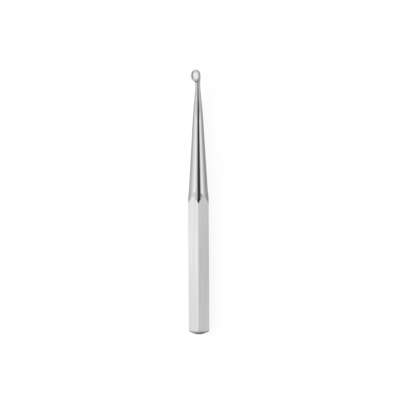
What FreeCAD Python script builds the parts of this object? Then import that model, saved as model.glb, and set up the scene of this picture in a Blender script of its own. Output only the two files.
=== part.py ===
"""Bone curette: one piece of stainless steel, lying on a flat of its hexagonal handle.

The bar runs along +Y with the butt at low Y and the cup at high Y. +Z is up, and the cup opens
upwards. The origin is the middle of the bounding box's underside. Millimetres throughout.

A station is a distance from the butt's apex along the axis. The bar is turned from hexagon stock:
a domed butt, six flats that end in scallops where a flare runs out through them, a long round
taper, and a slim neck. Past the neck the steel widens and rises into an oval spoon, which is
ground flat at its rim, rounded round the outside of the rim and scooped out from above.
"""

import FreeCAD
import Part

import math
import os

# Overall sizes
OVERALL_LENGTH = 165.0
ACROSS_FLATS = 12.7

# Handle
HANDLE_LENGTH = 90.6  # butt to the station where the flare leaves the taper
HEX_CORNER_RADIUS = 0.2
BUTT_DOME_RADIUS = 11.0
BUTT_EDGE_RADIUS = 0.2
FLARE_RADIUS = 45.0

# Turned shank
SHANK_STEP = 0.56  # how far the taper's thick end lies under the flats
OGIVE_RADIUS = 3.24  # shank radius where the straight taper turns into the ogive
OGIVE_LENGTH = 14.0
NECK_ROOT_RADIUS = 2.1  # shank radius where the ogive meets the neck
NECK_LENGTH = 8.5
NECK_RADIUS = 1.5

# Spoon
CUP_LENGTH = 7.42
CUP_WIDTH = 6.85
CUP_DEPTH = 3.45  # rim to the lowest point of the outside
RIM_RISE = 3.3  # rim plane above the axis
RIM_WIDTH = 0.8  # outside to hollow, at the toe and the sides
RIM_ROUND = 0.7  # rounding of the rim's outer edge
HEEL_LENGTH = 5.0  # end of the neck to the widest section
HEEL_START_PULL = 1.2  # how long the neck's direction holds into the heel
HEEL_END_PULL = 2.3  # how long the widest section's direction holds into the heel

# Hollow of the spoon
SCOOP_DEPTH = 0.85
SCOOP_LIFT = 0.15  # how far the middle of the oval that makes it lies over the rim
SCOOP_HEEL_LENGTH = 2.95  # widest section to the heel end
SCOOP_FULLNESS = 0.62  # how long the floor stays low towards an end, as a share of its length
SCOOP_CORNER = 0.9  # more than an ellipse's, so the floor is flatter and the sides are steeper

# The weight with which a corner pole makes a quarter of an ellipse
ELLIPSE_CORNER = math.sqrt(0.5)
# A cubic with this share of the radius as its handles follows a quarter of a circle.
QUARTER_PULL = 4.0 / 3.0 * (math.sqrt(2.0) - 1.0)

APOTHEM = ACROSS_FLATS / 2.0
HALF_CORNER_ANGLE = math.radians(30.0)
CIRCUMRADIUS = APOTHEM / math.cos(HALF_CORNER_ANGLE)
ENVELOPE_RADIUS = CIRCUMRADIUS + 1.0  # the turned envelope clears the corners of the bar
TAPER_RADIUS = APOTHEM - SHANK_STEP

# Stations of the tip, counted back from the toe
CUP_CENTRE = OVERALL_LENGTH - CUP_LENGTH / 2.0
NECK_END = CUP_CENTRE - HEEL_LENGTH
NECK_START = NECK_END - NECK_LENGTH
OGIVE_START = NECK_START - OGIVE_LENGTH


def place(station, up=0.0, side=0.0):
    """The point at a station, a height above the axis and a distance to the side of it."""
    return FreeCAD.Vector(side, station - OVERALL_LENGTH / 2.0, APOTHEM + up)


def arc(start, middle, end):
    return Part.Arc(place(*start), place(*middle), place(*end)).toShape()


def line(start, end):
    return Part.makeLine(place(*start), place(*end))


def taper_angle():
    """Half angle of the straight taper."""
    return math.atan2(TAPER_RADIUS - OGIVE_RADIUS, OGIVE_START - HANDLE_LENGTH)


def ogive_turn():
    """Angle between the straight taper and the chord of the ogive, which turns by twice as much."""
    chord_angle = math.atan2(OGIVE_RADIUS - NECK_ROOT_RADIUS, OGIVE_LENGTH)
    return chord_angle - taper_angle()


def dome_point(angle):
    """A point of the butt's dome, by its angle from the axis as (station, radius)."""
    return (
        BUTT_DOME_RADIUS * (1.0 - math.cos(angle)),
        BUTT_DOME_RADIUS * math.sin(angle),
    )


def flare_point(angle):
    """A point of the flare as (station, radius). The taper's own angle gives its tangent point."""
    start = taper_angle()
    return (
        HANDLE_LENGTH + FLARE_RADIUS * (math.sin(start) - math.sin(angle)),
        TAPER_RADIUS + FLARE_RADIUS * (math.cos(start) - math.cos(angle)),
    )


def ogive_middle():
    """The middle of the arc that starts along the taper and ends at the neck's root."""
    chord = math.hypot(OGIVE_LENGTH, OGIVE_RADIUS - NECK_ROOT_RADIUS)
    bulge = chord / 2.0 * math.tan(ogive_turn() / 2.0)
    chord_angle = taper_angle() + ogive_turn()
    return (
        OGIVE_START + OGIVE_LENGTH / 2.0 + bulge * math.sin(chord_angle),
        (OGIVE_RADIUS + NECK_ROOT_RADIUS) / 2.0 + bulge * math.cos(chord_angle),
    )


def neck_curve():
    """The neck's outline: it leaves the ogive smoothly and ends parallel to the axis."""
    pull = NECK_LENGTH / 3.0
    root_slope = math.tan(taper_angle() + 2.0 * ogive_turn())
    curve = Part.BezierCurve()
    curve.setPoles(
        [
            place(NECK_START, NECK_ROOT_RADIUS),
            place(NECK_START + pull, NECK_ROOT_RADIUS - root_slope * pull),
            place(NECK_END - pull, NECK_RADIUS),
            place(NECK_END, NECK_RADIUS),
        ]
    )
    return curve.toShape()


def turned_envelope():
    """Everything the lathe leaves: dome, clearance over the bar, flare, taper, ogive and neck."""
    dome_end = math.asin(ENVELOPE_RADIUS / BUTT_DOME_RADIUS)
    flare_start = taper_angle()
    flare_rise = ENVELOPE_RADIUS - TAPER_RADIUS
    flare_end = math.acos(math.cos(flare_start) - flare_rise / FLARE_RADIUS)
    butt = (0.0, 0.0)
    ogive = (OGIVE_START, OGIVE_RADIUS)
    neck_root = (NECK_START, NECK_ROOT_RADIUS)
    neck_end = (NECK_END, NECK_RADIUS)
    neck_axis = (NECK_END, 0.0)
    outline = [
        arc(butt, dome_point(dome_end / 2.0), dome_point(dome_end)),
        line(dome_point(dome_end), flare_point(flare_end)),
        arc(
            flare_point(flare_end),
            flare_point((flare_start + flare_end) / 2.0),
            flare_point(flare_start),
        ),
        line(flare_point(flare_start), ogive),
        arc(ogive, ogive_middle(), neck_root),
        neck_curve(),
        line(neck_end, neck_axis),
        line(neck_axis, butt),
    ]
    profile = Part.Face(Part.Wire(outline))
    return profile.revolve(place(0.0), FreeCAD.Vector(0, 1, 0), 360)


def hexagon_bar():
    """The stock, with rounded corners and one flat facing down."""
    corners = []
    for turn in range(7):
        angle = math.radians(60.0 * turn)
        up = CIRCUMRADIUS * math.sin(angle)
        side = CIRCUMRADIUS * math.cos(angle)
        corners.append(place(0.0, up, side))
    section = Part.Face(Part.makePolygon(corners))
    bar = section.extrude(FreeCAD.Vector(0, OVERALL_LENGTH, 0))
    along = [e for e in bar.Edges if abs(e.Length - OVERALL_LENGTH) < 1e-6]
    return bar.makeFillet(HEX_CORNER_RADIUS, along)


def round_butt_edge(bar):
    """Breaks the edge between the dome and the hexagon all the way round."""
    dome = next(f for f in bar.Faces if isinstance(f.Surface, Part.Sphere))
    edges = [e for e in dome.OuterWire.Edges if not e.Degenerated]
    return bar.makeFillet(BUTT_EDGE_RADIUS, edges)


def skin(sections, spans, corner_weight):
    """A smooth face through changing ovals, given as two cubic stretches along the axis.

    A section is (station, half width, half depth, rise above the axis). The one that the two
    stretches share is left out, and their spans are in the proportion that keeps it smooth.
    """
    ring = [(0, 1), (-1, 1), (-1, 0), (-1, -1), (0, -1), (1, -1), (1, 0), (1, 1), (0, 1)]
    poles = []
    weights = []
    for across, up in ring:
        row = [
            place(station, rise + half_depth * up, half_width * across)
            for station, half_width, half_depth, rise in sections
        ]
        poles.append(row)
        weights.append([1.0 if 0 in (across, up) else corner_weight] * len(row))
    surface = Part.BSplineSurface()
    surface.buildFromPolesMultsKnots(
        poles,
        [3, 2, 2, 2, 3],
        [4, 2, 4],
        [0.0, 1.0, 2.0, 3.0, 4.0],
        [0.0, spans[0], spans[0] + spans[1]],
        False,
        False,
        2,
        3,
        weights,
    )
    return surface.toShape()


def solid_inside(shell):
    solid = Part.Solid(shell)
    if solid.Volume < 0:
        solid.reverse()
    return solid


def spoon_blank():
    """The bulb: ellipses that grow and rise smoothly from the neck's end and close at the toe."""
    width, depth, rise = CUP_WIDTH / 2.0, CUP_DEPTH, RIM_RISE
    toe_pull = QUARTER_PULL * CUP_LENGTH / 2.0
    sections = [
        (NECK_END, NECK_RADIUS, NECK_RADIUS, 0.0),
        (NECK_END + HEEL_START_PULL, NECK_RADIUS, NECK_RADIUS, 0.0),
        (CUP_CENTRE - HEEL_END_PULL, width, depth, rise),
        (CUP_CENTRE + toe_pull, width, depth, rise),
        (OVERALL_LENGTH, QUARTER_PULL * width, QUARTER_PULL * depth, rise),
        (OVERALL_LENGTH, 0.0, 0.0, rise),
    ]
    bulb = skin(sections, (HEEL_END_PULL, toe_pull), ELLIPSE_CORNER)
    root = min(
        (e for e in bulb.Edges if not e.Degenerated),
        key=lambda e: e.BoundBox.YMax,
    )
    shell = Part.makeShell([bulb, Part.Face(Part.Wire([root]))])
    shell.sewShape()
    return solid_inside(shell)


def scoop():
    """What the hollow takes off: an oval body whose upper half stands clear of the rim."""
    width, depth = CUP_WIDTH / 2.0 - RIM_WIDTH, SCOOP_DEPTH + SCOOP_LIFT
    end_width, end_depth = SCOOP_FULLNESS * width, SCOOP_FULLNESS * depth
    rise = RIM_RISE + SCOOP_LIFT
    heel = CUP_CENTRE - SCOOP_HEEL_LENGTH
    toe = OVERALL_LENGTH - RIM_WIDTH
    heel_pull = SCOOP_FULLNESS * (CUP_CENTRE - heel)
    toe_pull = SCOOP_FULLNESS * (toe - CUP_CENTRE)
    sections = [
        (heel, 0.0, 0.0, rise),
        (heel, end_width, end_depth, rise),
        (CUP_CENTRE - heel_pull, width, depth, rise),
        (CUP_CENTRE + toe_pull, width, depth, rise),
        (toe, end_width, end_depth, rise),
        (toe, 0.0, 0.0, rise),
    ]
    oval = skin(sections, (heel_pull, toe_pull), SCOOP_CORNER)
    return solid_inside(Part.makeShell([oval]))


def rim_cut():
    """What the flat rim takes off the bulb."""
    reach = CUP_WIDTH
    block = Part.makeBox(2.0 * reach, OVERALL_LENGTH - NECK_END + reach, 2.0 * CUP_DEPTH)
    block.translate(place(NECK_END, RIM_RISE, -reach))
    return block


def round_rim(body):
    """Rounds the edge between the flat rim and the outside of the spoon."""
    level = place(0.0, RIM_RISE).z
    edges = [e for e in body.Edges if not e.Degenerated]
    rim = [e for e in edges if all(abs(p.z - level) < 1e-6 for p in e.discretize(8))]
    return body.makeFillet(RIM_ROUND, rim)


def curette():
    bar = round_butt_edge(turned_envelope().common(hexagon_bar()))
    body = round_rim(bar.fuse(spoon_blank()).cut(rim_cut()))
    return body.cut(scoop()).Solids[0]


def main():
    os.makedirs("parts", exist_ok=True)
    solid = curette()
    solid.exportStep("parts/curette.step")
    print("curette: valid %s, %.1f mm3" % (solid.isValid(), solid.Volume))


main()
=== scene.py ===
"""The looks of the bone curette: five finishes of one steel, and a white studio.

Metres throughout, in the frame of the part: +Y runs from the butt to the scoop, +Z is up and the
instrument lies on the floor at Z = 0. An angle round the bar is measured about the Y axis, from
+X towards +Z.
"""

import math

import bpy
from mathutils import Matrix, Vector


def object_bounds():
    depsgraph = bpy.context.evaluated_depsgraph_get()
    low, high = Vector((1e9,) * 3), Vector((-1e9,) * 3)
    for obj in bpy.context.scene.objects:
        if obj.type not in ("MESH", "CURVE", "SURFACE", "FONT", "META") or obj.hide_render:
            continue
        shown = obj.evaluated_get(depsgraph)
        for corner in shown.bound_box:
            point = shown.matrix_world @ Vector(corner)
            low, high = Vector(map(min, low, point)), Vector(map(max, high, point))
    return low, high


MILLIMETRE = 0.001
MICROMETRE = 0.000001

# Where the instrument shows in the frame of 400 by 400 pixels
FRAME_PIXELS = 400
LENGTH_PIXELS = 264.6
MIDDLE_COLUMN = 198.4
MIDDLE_ROW = 201.95
LEAN = math.radians(0.29)  # clockwise

# The camera looks at the bar square to its length, from this angle round it
CAMERA_ANGLE = math.radians(60.0)
CAMERA_DISTANCE = 1.6

# Where one finish gives way to the next, along Y
SCALLOP_LIMIT = 10.0 * MILLIMETRE  # no flat reaches further
NECK_LIMIT = 65.5 * MILLIMETRE  # the neck and the spoon are past it
SCOOP_LIMIT = 74.0 * MILLIMETRE  # the hollow lies past it

# How the faces of the hollow and of the flats are told from those beside them
SCOOP_CENTRE = Vector((0.0, 78.8 * MILLIMETRE, 9.65 * MILLIMETRE))  # in the plane of the rim
HOLLOW_MARGIN = 0.01 * MILLIMETRE  # a face of the hollow has that centre further in front of it
FLAT_TILT = 0.02  # the normal of a flat has less than this along Y, either way

# The grain of each finish
AXIS_HEIGHT = 6.35 * MILLIMETRE
BRUSH_GRAIN = (0.09 * MILLIMETRE, 14.0 * MILLIMETRE, 0.09 * MILLIMETRE)
BRUSH_DETAIL = 3.0
TURNED_GRAIN = (8.0 * MILLIMETRE, 0.15 * MILLIMETRE, 8.0 * MILLIMETRE)
GROUND_GRAIN = (0.1 * MILLIMETRE, 0.1 * MILLIMETRE, 0.1 * MILLIMETRE)
FACED_RING_WIDTH = 0.12 * MILLIMETRE
NOISE_MIDDLE = (0.3, 0.7)  # most of a noise lies between these

# How the tone changes over a surface: the size of a patch along X, Y and Z, and the change
DRIFT = ((5.0 * MILLIMETRE, 15.0 * MILLIMETRE, 5.0 * MILLIMETRE), 0.012)
SATIN_STREAKS = ((2.2 * MILLIMETRE, 60.0 * MILLIMETRE, 2.2 * MILLIMETRE), 0.045)

# The finishes: grey, range of the roughness, and height of the relief
POLISHED = (0.6, (0.06, 0.10), 0.05 * MICROMETRE)
SATIN = (0.625, (0.26, 0.36), 2.0 * MICROMETRE)
# The hollow's grey is raised above the polished steel's: painted light that brightens the hollow,
# over its real ground grain
GROUND_WITH_PAINTED_LIGHT = (0.77, (0.36, 0.44), 0.5 * MICROMETRE)
# The butt's grey is a little below the polished steel's: painted shade that darkens the end, over
# its real faced rings
FACED_WITH_PAINTED_SHADE = (0.56, (0.09, 0.15), 0.4 * MICROMETRE)
BUFFED = (0.55, (0.19, 0.25), 0.2 * MICROMETRE)

# Floor
FLOOR_SIZE = 8.0
FLOOR_GREY = 0.93  # for the light that it throws back
FLOOR_GREY_SEEN = 0.14  # under the glow that lifts it to white, so that the shadow is faint
FLOOR_LIGHT = 0.65  # the studio's light on an open floor, as a share of full white
# Painted shades on the floor, which dim its glow where only metal sees it: the first and last
# corner and the fade in millimetres, and the tone inside
PAINTED_SHADES = (
    ((-52.0, -50.0), (7.3, 52.0), 40.0, 0.46),  # along the instrument, short of the spoon
    ((-6.0, -94.0), (-1.0, -84.0), 18.0, 0.20),  # just past the butt
    ((7.0, -62.0), (24.0, -30.0), 20.0, 0.3),  # right of the handle
)

# Studio
WHITE = (1.0, 1.0, 1.0, 1.0)
STUDIO_PEAK = 1.2
# Angle round the bar in degrees, and the brightness of the studio there
STUDIO_TONES = (
    (-180.0, 0.52),
    (0.0, 0.9),
    (25.0, 0.5),
    (37.0, 0.15),
    (44.0, 0.05),
    (62.0, 0.04),
    (69.0, 0.30),
    (78.0, 0.85),
    (94.0, 0.95),
    (121.0, 1.00),
    (132.0, 1.12),
    (148.0, 1.0),
    (163.0, 0.78),
    (180.0, 0.52),
)
# The direction's part along +Y, and the share of that brightness that is left there
END_TONES = (
    (-1.0, 0.8),
    (-0.7, 0.8),
    (-0.2, 1.0),
    (0.4, 1.0),
    (1.0, 1.0),
)
# Name, angle round the bar in degrees, distance, place along Y and the place along Y that it
# faces, size round the bar and along it, and tone
SOFTBOXES = (
    ("side_softbox", 18.5, 0.6, 0.10, 0.10, 0.32, 0.10, 0.62),
    ("far_side_softbox", 26.0, 0.6, 0.26, 0.0, 0.26, 0.09, 0.46),
    ("far_top_softbox", 118.0, 1.2, 0.45, 0.0, 0.6, 0.25, 0.25),
    ("top_softbox", 108.0, 1.2, 0.06, 0.06, 0.87, 0.37, 0.38),
)


def grey(level):
    return (level, level, level, 1.0)


def node_tree(owner):
    """The empty node tree of a material or a world."""
    owner.use_nodes = True
    tree = owner.node_tree
    tree.nodes.clear()
    return tree


def add_node(tree, kind, **settings):
    node = tree.nodes.new(kind)
    for name, value in settings.items():
        setattr(node, name, value)
    return node


def math_node(tree, operation, *values):
    """The output of a Math node. Each value is a number or another node's output."""
    node = add_node(tree, "ShaderNodeMath", operation=operation)
    for socket, value in zip(node.inputs, values):
        if isinstance(value, (int, float)):
            socket.default_value = value
        else:
            tree.links.new(value, socket)
    return node.outputs[0]


def vector_node(tree, operation, first, second=None):
    """A Vector Math node. The first input is another node's output, the second a fixed vector."""
    node = add_node(tree, "ShaderNodeVectorMath", operation=operation)
    tree.links.new(first, node.inputs[0])
    if second is not None:
        node.inputs[1].default_value = second
    return node


def grey_of(tree, level):
    """A colour whose three channels are another node's output."""
    colour = add_node(tree, "ShaderNodeCombineColor")
    for channel in colour.inputs:
        tree.links.new(level, channel)
    return colour.outputs[0]


def place_on_object(tree):
    return add_node(tree, "ShaderNodeTexCoord").outputs["Object"]


def stretched_noise(tree, size, detail=2.0):
    """Noise whose grains have a size along X, Y and Z, from 0 to 1."""
    stretch = add_node(tree, "ShaderNodeMapping")
    stretch.inputs["Scale"].default_value = [1.0 / extent for extent in size]
    noise = add_node(tree, "ShaderNodeTexNoise")
    noise.inputs["Scale"].default_value = 1.0
    noise.inputs["Detail"].default_value = detail
    tree.links.new(place_on_object(tree), stretch.inputs["Vector"])
    tree.links.new(stretch.outputs["Vector"], noise.inputs["Vector"])
    return noise.outputs["Fac"]


def brushed_lengthwise(tree):
    """Streaks that are much longer along the bar than they are wide."""
    return stretched_noise(tree, BRUSH_GRAIN, BRUSH_DETAIL)


def turned_round(tree):
    """Faint rings round the bar."""
    return stretched_noise(tree, TURNED_GRAIN)


def ground_finely(tree):
    """The fine even grain of a small grinding ball or a buff."""
    return stretched_noise(tree, GROUND_GRAIN)


def faced_end(tree):
    """Rings about the axis of the bar, side by side across its end."""
    parts = add_node(tree, "ShaderNodeSeparateXYZ")
    tree.links.new(place_on_object(tree), parts.inputs[0])
    rise = math_node(tree, "SUBTRACT", parts.outputs["Z"], AXIS_HEIGHT)
    across = math_node(tree, "MULTIPLY", parts.outputs["X"], parts.outputs["X"])
    squares = math_node(tree, "ADD", across, math_node(tree, "MULTIPLY", rise, rise))
    rings = math_node(tree, "MULTIPLY", math_node(tree, "SQRT", squares), 1.0 / FACED_RING_WIDTH)
    noise = add_node(tree, "ShaderNodeTexNoise", noise_dimensions="1D")
    noise.inputs["Scale"].default_value = 1.0
    tree.links.new(rings, noise.inputs["W"])
    return noise.outputs["Fac"]


def spread(tree, noise, low, high):
    """Maps the middle of a noise onto low to high."""
    node = add_node(tree, "ShaderNodeMapRange")
    node.inputs["From Min"].default_value = NOISE_MIDDLE[0]
    node.inputs["From Max"].default_value = NOISE_MIDDLE[1]
    node.inputs["To Min"].default_value = low
    node.inputs["To Max"].default_value = high
    tree.links.new(noise, node.inputs["Value"])
    return node.outputs["Result"]


def steel(name, finish, grain, drift=DRIFT):
    """Steel whose roughness and relief follow the grain, and whose tone drifts a little."""
    level, roughness, height = finish
    material = bpy.data.materials.new(name)
    tree = node_tree(material)
    output = add_node(tree, "ShaderNodeOutputMaterial")
    metal = add_node(tree, "ShaderNodeBsdfPrincipled")
    metal.inputs["Metallic"].default_value = 1.0
    tree.links.new(metal.outputs[0], output.inputs["Surface"])

    pattern = grain(tree)
    tree.links.new(spread(tree, pattern, *roughness), metal.inputs["Roughness"])
    relief = add_node(tree, "ShaderNodeBump")
    relief.inputs["Strength"].default_value = 1.0
    relief.inputs["Distance"].default_value = height
    tree.links.new(pattern, relief.inputs["Height"])
    tree.links.new(relief.outputs[0], metal.inputs["Normal"])

    patch, change = drift
    tone = spread(tree, stretched_noise(tree, patch), level - change, level + change)
    tree.links.new(grey_of(tree, tone), metal.inputs["Base Color"])
    return material


def finishes():
    """The material of each region, in the order of the material slots."""
    return {
        "shank": steel("polished_steel", POLISHED, turned_round),
        "flat": steel("satin_steel", SATIN, brushed_lengthwise, SATIN_STREAKS),
        "hollow": steel("ground_steel_painted_light", GROUND_WITH_PAINTED_LIGHT, ground_finely),
        "butt": steel("faced_steel_painted_shade", FACED_WITH_PAINTED_SHADE, faced_end),
        "tip": steel("buffed_steel", BUFFED, ground_finely),
    }


def region_of(face):
    """The region that a face lies in. The tip is the neck and the outside of the spoon."""
    place = face.center
    if place.y > SCOOP_LIMIT and face.normal.dot(SCOOP_CENTRE - place) > HOLLOW_MARGIN:
        return "hollow"
    if place.y > NECK_LIMIT:
        return "tip"
    if place.y > SCALLOP_LIMIT or face.normal.y >= FLAT_TILT:
        return "shank"
    return "butt" if face.normal.y < -FLAT_TILT else "flat"


def finish_steel(node):
    """Gives each face of the instrument the finish of its region."""
    mesh = node.data
    mesh.materials.clear()
    materials = finishes()
    for material in materials.values():
        mesh.materials.append(material)
    slots = {region: slot for slot, region in enumerate(materials)}
    for face in mesh.polygons:
        face.material_index = slots[region_of(face)]


def by_ray(tree, seen, mirrored, otherwise):
    """One value for the camera's rays, one for those off metal or through glass, one for light.

    The middle one can be another node's output.
    """
    rays = add_node(tree, "ShaderNodeLightPath")
    glossy = rays.outputs["Is Glossy Ray"]
    through = rays.outputs["Is Transmission Ray"]
    off_metal = math_node(tree, "MAXIMUM", glossy, through)
    camera = rays.outputs["Is Camera Ray"]
    from_camera = math_node(tree, "MULTIPLY", camera, seen - otherwise)
    mirrored_change = math_node(tree, "SUBTRACT", mirrored, otherwise)
    from_metal = math_node(tree, "MULTIPLY", off_metal, mirrored_change)
    change = math_node(tree, "ADD", from_camera, from_metal)
    return math_node(tree, "ADD", change, otherwise)


def away_from_box(tree, low, high):
    """How far a point lies from the upright box between two corners, in millimetres from above."""
    half_size = (high - low) / 2.0
    to_millimetres = Vector((1.0 / MILLIMETRE,) * 3)
    scaled = vector_node(tree, "MULTIPLY", place_on_object(tree), to_millimetres)
    from_middle = vector_node(tree, "SUBTRACT", scaled.outputs[0], (low + high) / 2.0)
    on_one_side = vector_node(tree, "ABSOLUTE", from_middle.outputs[0])
    outside = vector_node(tree, "SUBTRACT", on_one_side.outputs[0], half_size)
    beyond = vector_node(tree, "MAXIMUM", outside.outputs[0], Vector((0.0, 0.0, 0.0)))
    level = vector_node(tree, "MULTIPLY", beyond.outputs[0], Vector((1.0, 1.0, 0.0)))
    return vector_node(tree, "LENGTH", level.outputs[0]).outputs["Value"]


def rise_to_white(tree, distance, reach, start):
    """A tone that rises with a distance, from its start to 1 at the reach."""
    rise = add_node(tree, "ShaderNodeMapRange")
    rise.inputs["From Max"].default_value = reach
    rise.inputs["To Min"].default_value = start
    tree.links.new(distance, rise.inputs["Value"])
    return rise.outputs["Result"]


def floor_in_metal(tree):
    """The floor's tone as metal shows it: white, and darker in each painted shade."""
    tone = 1.0
    for first, last, fade, inside in PAINTED_SHADES:
        distance = away_from_box(tree, Vector((*first, 0.0)), Vector((*last, 0.0)))
        tone = math_node(tree, "MULTIPLY", rise_to_white(tree, distance, fade, inside), tone)
    return tone


def floor_paper():
    """A matt grey with a glow that lifts it to white where nothing shades it; in metal, painted
    shades dim the glow.
    """
    material = bpy.data.materials.new("floor_white")
    tree = node_tree(material)
    output = add_node(tree, "ShaderNodeOutputMaterial")
    paper = add_node(tree, "ShaderNodeBsdfPrincipled")
    paper.inputs["Roughness"].default_value = 1.0
    paper.inputs["Specular IOR Level"].default_value = 0.0
    paper.inputs["Emission Color"].default_value = WHITE
    level = by_ray(tree, FLOOR_GREY_SEEN, FLOOR_GREY_SEEN, FLOOR_GREY)
    tree.links.new(grey_of(tree, level), paper.inputs["Base Color"])
    thrown_back = FLOOR_GREY_SEEN * FLOOR_LIGHT
    in_metal = math_node(tree, "SUBTRACT", floor_in_metal(tree), thrown_back)
    glow = by_ray(tree, 1.0 - thrown_back, in_metal, 0.0)
    tree.links.new(glow, paper.inputs["Emission Strength"])
    tree.links.new(paper.outputs[0], output.inputs["Surface"])
    return material


def add_floor():
    """A plain floor that shows as white and keeps the instrument's shadow."""
    bpy.ops.mesh.primitive_plane_add(size=FLOOR_SIZE)
    floor = bpy.context.object
    floor.name = "floor"
    floor.data.materials.append(floor_paper())


def tone_round_bar(tree, up, right):
    """The studio's brightness by the angle round the bar, as a share of its peak."""
    angle = math_node(tree, "ARCTAN2", up, right)
    turn = math_node(tree, "MULTIPLY_ADD", angle, 1.0 / (2.0 * math.pi), 0.5)
    ramp = add_node(tree, "ShaderNodeValToRGB")
    stops = ramp.color_ramp.elements
    while len(stops) < len(STUDIO_TONES):
        stops.new(1.0)
    for stop, (degrees, tone) in zip(stops, STUDIO_TONES):
        stop.position = degrees / 360.0 + 0.5
        stop.color = grey(tone / STUDIO_PEAK)
    tree.links.new(turn, ramp.inputs[0])
    return ramp.outputs[0]


def share_along_bar(tree, along):
    """The share of that brightness that is left in directions towards either end of the bar."""
    curve = add_node(tree, "ShaderNodeFloatCurve")
    points = curve.mapping.curves[0].points
    while len(points) < len(END_TONES):
        points.new(0.5, 0.5)
    for point, (part, share) in zip(points, END_TONES):
        point.location = (part / 2.0 + 0.5, share)
    curve.mapping.update()
    from_0_to_1 = math_node(tree, "MULTIPLY_ADD", along, 0.5, 0.5)
    tree.links.new(from_0_to_1, curve.inputs["Value"])
    return curve.outputs[0]


def studio_level(tree):
    """The studio's brightness by direction: round the bar, and darker beyond the butt."""
    direction = add_node(tree, "ShaderNodeTexCoord")
    parts = add_node(tree, "ShaderNodeSeparateXYZ")
    tree.links.new(direction.outputs["Generated"], parts.inputs[0])
    tone = tone_round_bar(tree, parts.outputs["Z"], parts.outputs["X"])
    share = share_along_bar(tree, parts.outputs["Y"])
    return math_node(tree, "MULTIPLY", tone, share)


def light_studio():
    """World light, white where the camera looks past the floor."""
    world = bpy.data.worlds.new("studio")
    bpy.context.scene.world = world
    tree = node_tree(world)
    output = add_node(tree, "ShaderNodeOutputWorld")
    rays = add_node(tree, "ShaderNodeLightPath")
    walls = add_node(tree, "ShaderNodeBackground")
    walls.inputs["Strength"].default_value = STUDIO_PEAK
    tree.links.new(studio_level(tree), walls.inputs["Color"])
    backdrop = add_node(tree, "ShaderNodeBackground")
    backdrop.inputs["Color"].default_value = WHITE
    choice = add_node(tree, "ShaderNodeMixShader")
    tree.links.new(rays.outputs["Is Camera Ray"], choice.inputs[0])
    tree.links.new(walls.outputs[0], choice.inputs[1])
    tree.links.new(backdrop.outputs[0], choice.inputs[2])
    tree.links.new(choice.outputs[0], output.inputs["Surface"])


def round_bar(angle, distance, along):
    """The place at an angle round the bar in degrees, a distance from its line, and along it."""
    turn = math.radians(angle)
    return Vector((distance * math.cos(turn), along, distance * math.sin(turn)))


def add_softbox(name, place, aim, across, along, tone):
    """A soft lamp that faces its aim. Its tone is its brightness, whatever its size."""
    lamp = bpy.data.lights.new(name, "AREA")
    lamp.shape = "RECTANGLE"
    lamp.size = along
    lamp.size_y = across
    lamp.energy = tone * math.pi * across * along
    softbox = bpy.data.objects.new(name, lamp)
    softbox.visible_camera = False
    softbox.location = place
    softbox.rotation_euler = (place - aim).to_track_quat("Z", "Y").to_euler()
    bpy.context.scene.collection.objects.link(softbox)


def light_with_softboxes():
    for name, angle, distance, along, faces, across, length, tone in SOFTBOXES:
        place = round_bar(angle, distance, along)
        aim = Vector((0.0, faces, 0.0))
        add_softbox(name, place, aim, across, length, tone)


def look(place, right, up, back):
    """The transform of a camera at a place, from the directions of its three axes."""
    matrix = Matrix((right, up, back)).transposed().to_4x4()
    matrix.translation = place
    return matrix


def add_camera(low, high):
    """Puts the instrument at its place in the frame, standing upright with its slight lean."""
    pixel = (high.y - low.y) / LENGTH_PIXELS
    back = Vector((math.cos(CAMERA_ANGLE), 0.0, math.sin(CAMERA_ANGLE)))
    level = Vector((math.sin(CAMERA_ANGLE), 0.0, -math.cos(CAMERA_ANGLE)))
    along = Vector((0.0, 1.0, 0.0))
    right = level * math.cos(LEAN) - along * math.sin(LEAN)
    up = level * math.sin(LEAN) + along * math.cos(LEAN)
    middle = Vector((0.0, (low.y + high.y) / 2.0, high.z / 2.0))
    half_frame = FRAME_PIXELS / 2.0
    target = middle + right * (half_frame - MIDDLE_COLUMN) * pixel
    target += up * (MIDDLE_ROW - half_frame) * pixel

    data = bpy.data.cameras.new("camera")
    data.angle = 2.0 * math.atan(half_frame * pixel / CAMERA_DISTANCE)
    camera = bpy.data.objects.new("camera", data)
    camera.matrix_world = look(target + back * CAMERA_DISTANCE, right, up, back)
    bpy.context.scene.collection.objects.link(camera)
    bpy.context.scene.camera = camera


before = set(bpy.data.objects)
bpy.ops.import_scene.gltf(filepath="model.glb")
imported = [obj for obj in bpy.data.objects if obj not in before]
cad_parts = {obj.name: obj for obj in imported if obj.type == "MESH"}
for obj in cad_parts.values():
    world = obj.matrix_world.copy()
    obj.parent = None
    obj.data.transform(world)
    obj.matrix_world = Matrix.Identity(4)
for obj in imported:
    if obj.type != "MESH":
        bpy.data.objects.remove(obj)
packed_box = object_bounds()
finish_steel(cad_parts["curette"])
add_floor()
light_studio()
light_with_softboxes()
add_camera(*packed_box)
bpy.context.scene.view_settings.view_transform = "Standard"
